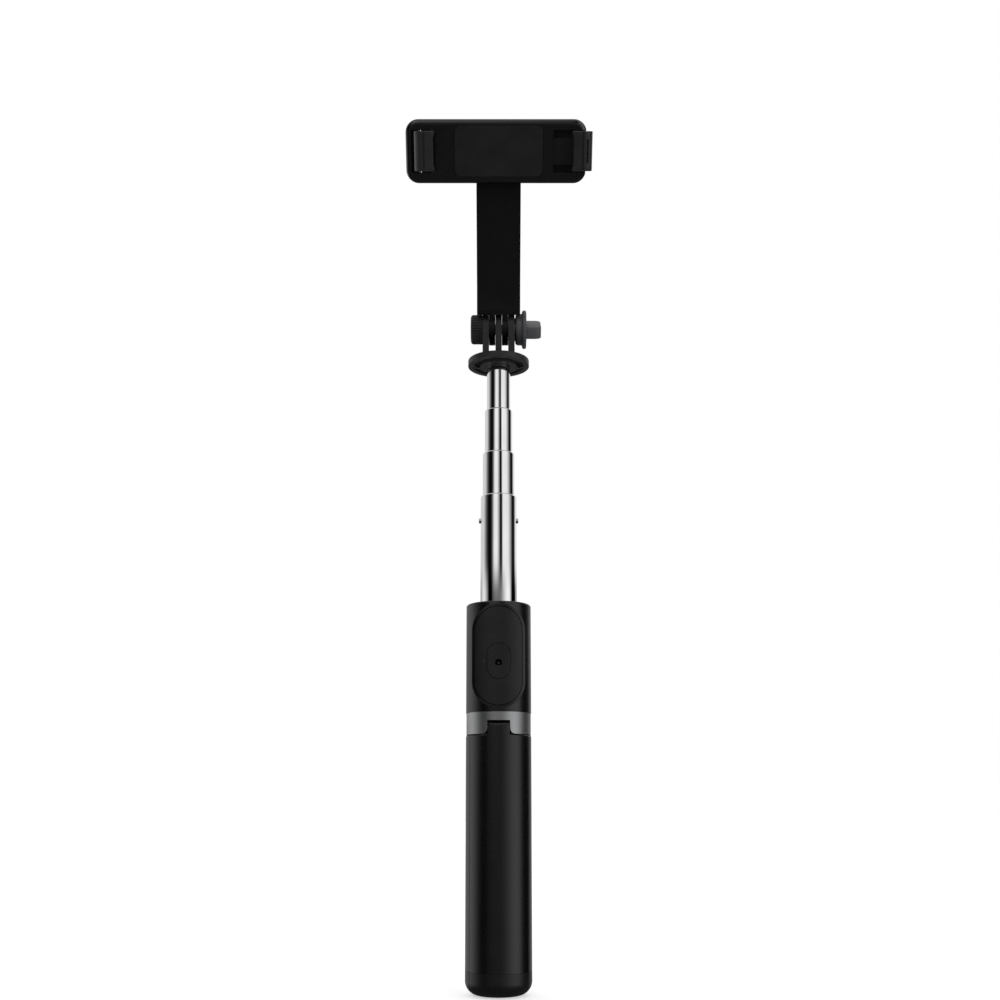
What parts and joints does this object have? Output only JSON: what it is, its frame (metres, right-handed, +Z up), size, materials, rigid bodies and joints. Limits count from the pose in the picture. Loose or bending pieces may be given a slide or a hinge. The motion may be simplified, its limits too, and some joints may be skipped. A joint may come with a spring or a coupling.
{
  "type": "selfie stick",
  "caption": "Selfie stick with a telescopic chrome pole, fold-out tripod legs, lift-out shutter remote, tilting head and sprung phone clamp.",
  "frame": {"origin": "centre of the closed feet, on the surface they stand on", "axes": "+Z up along the pole, -Y is the front with the remote and the phone's screen, +X is on the right seen from the front"},
  "size_m": [0.0843, 0.0801, 0.3927],
  "materials": {
    "black_plastic": "satin moulded black plastic",
    "soft_black_plastic": "fine-textured black plastic",
    "gloss_black_plastic": "glossy black plastic",
    "silver_plating": "satin grey brushed metal",
    "chrome_tube": "polished, drawn tube",
    "steel": "turned steel",
    "rubber": "matt black rubber",
    "knob_plastic": "dark grey plastic",
    "board": "green circuit board",
    "led_lens": "smoked light pipe"
  },
  "bodies": {
    "handle": {"handle_shell": "black_plastic", "handle_liner": "steel", "mouth_bush": "soft_black_plastic", "hinge_collar": "silver_plating", "collar_screws": "steel", "hinge_pins": "steel"},
    "leg_front": {"leg_front_shell": "black_plastic", "leg_front_cover": "soft_black_plastic", "leg_front_foot": "rubber"},
    "leg_right": {"leg_right_shell": "black_plastic", "leg_right_cover": "soft_black_plastic", "leg_right_foot": "rubber"},
    "leg_left": {"leg_left_shell": "black_plastic", "leg_left_cover": "soft_black_plastic", "leg_left_foot": "rubber"},
    "remote": {"remote_front": "soft_black_plastic", "remote_back": "soft_black_plastic", "remote_board": "board", "remote_cell": "steel", "remote_switch": "steel", "remote_led": "led_lens"},
    "button": {"shutter_button": "soft_black_plastic"},
    "pole_1": {"tube_1": "chrome_tube", "tube_1_bush": "soft_black_plastic", "guide_studs": "chrome_tube"},
    "pole_2": {"tube_2": "chrome_tube", "tube_2_bush": "soft_black_plastic"},
    "pole_3": {"tube_3": "chrome_tube", "tube_3_bush": "soft_black_plastic"},
    "pole_4": {"tube_4": "chrome_tube", "tube_4_bush": "soft_black_plastic", "tube_plug": "soft_black_plastic"},
    "head": {"head_fork": "black_plastic", "head_under": "soft_black_plastic", "head_screws": "steel", "nut_cap": "soft_black_plastic", "tilt_nut": "steel"},
    "knob": {"thumb_knob": "knob_plastic", "tilt_bolt": "steel", "knob_washer": "steel"},
    "stem": {"stem_arm": "black_plastic", "stem_cover": "soft_black_plastic", "swivel_washer": "steel"},
    "clamp": {"clamp_front_cover": "gloss_black_plastic", "clamp_rear_cover": "soft_black_plastic", "clamp_pad": "rubber", "clamp_screws": "steel", "clamp_springs": "steel", "swivel_shaft": "steel", "swivel_nut": "steel", "left_jaw_pin": "chrome_tube"},
    "slider": {"slider_plate": "soft_black_plastic", "right_jaw_pin": "chrome_tube"},
    "jaw_left": {"jaw_left_flap": "soft_black_plastic", "jaw_left_pad": "rubber"},
    "jaw_right": {"jaw_right_flap": "soft_black_plastic", "jaw_right_pad": "rubber"}
  },
  "joints": [
    {"name": "leg_front_fold", "type": "hinge", "parent": "handle", "child": "leg_front", "pos_m": [0, -0.0121, 0.1175], "axis": [-1, 0, 0], "range_deg": [0, 60]},
    {"name": "leg_right_fold", "type": "hinge", "parent": "handle", "child": "leg_right", "pos_m": [0.01048, 0.00605, 0.1175], "axis": [0.5, -0.866, 0], "range_deg": [0, 60]},
    {"name": "leg_left_fold", "type": "hinge", "parent": "handle", "child": "leg_left", "pos_m": [-0.01048, 0.00605, 0.1175], "axis": [0.5, 0.866, 0], "range_deg": [0, 60]},
    {"name": "remote_lift", "type": "slide", "parent": "handle", "child": "remote", "axis": [0, -1, 0], "range_m": [0, 0.03]},
    {"name": "shutter_press", "type": "slide", "parent": "remote", "child": "button", "axis": [0, 1, 0], "range_m": [0, 0.00035], "stiffness_N_per_m": 1500},
    {"name": "pole_1_slide", "type": "slide", "parent": "handle", "child": "pole_1", "axis": [0, 0, 1], "range_m": [-0.05, 0.078]},
    {"name": "pole_2_slide", "type": "slide", "parent": "pole_1", "child": "pole_2", "axis": [0, 0, 1], "range_m": [-0.019, 0.116]},
    {"name": "pole_3_slide", "type": "slide", "parent": "pole_2", "child": "pole_3", "axis": [0, 0, 1], "range_m": [-0.019, 0.116]},
    {"name": "pole_4_slide", "type": "slide", "parent": "pole_3", "child": "pole_4", "axis": [0, 0, 1], "range_m": [-0.02, 0.116]},
    {"name": "head_turn", "type": "hinge", "parent": "pole_4", "child": "head", "pos_m": [0, 0, 0.295], "axis": [0, 0, 1], "continuous": true},
    {"name": "knob_turn", "type": "hinge", "parent": "head", "child": "knob", "pos_m": [0.008, 0, 0.3111], "axis": [1, 0, 0], "continuous": true},
    {"name": "head_tilt", "type": "hinge", "parent": "head", "child": "stem", "pos_m": [0, 0, 0.3111], "axis": [1, 0, 0], "range_deg": [-119.5, 60.5]},
    {"name": "clamp_turn", "type": "hinge", "parent": "stem", "child": "clamp", "pos_m": [0, -0.04008, 0.38195], "axis": [0, 0.8704, 0.4924], "continuous": true},
    {"name": "clamp_slide", "type": "slide", "parent": "clamp", "child": "slider", "axis": [1, 0, 0], "range_m": [-0.01, 0.016], "deforming": ["clamp_springs"]},
    {"name": "jaw_left_fold", "type": "hinge", "parent": "clamp", "child": "jaw_left", "pos_m": [-0.0358, -0.04844, 0.37722], "axis": [0, -0.4924, 0.8704], "range_deg": [0, 40]},
    {"name": "jaw_right_fold", "type": "hinge", "parent": "slider", "child": "jaw_right", "pos_m": [0.04, -0.04844, 0.37722], "axis": [0, 0.4924, -0.8704], "range_deg": [0, 40]}
  ]
}
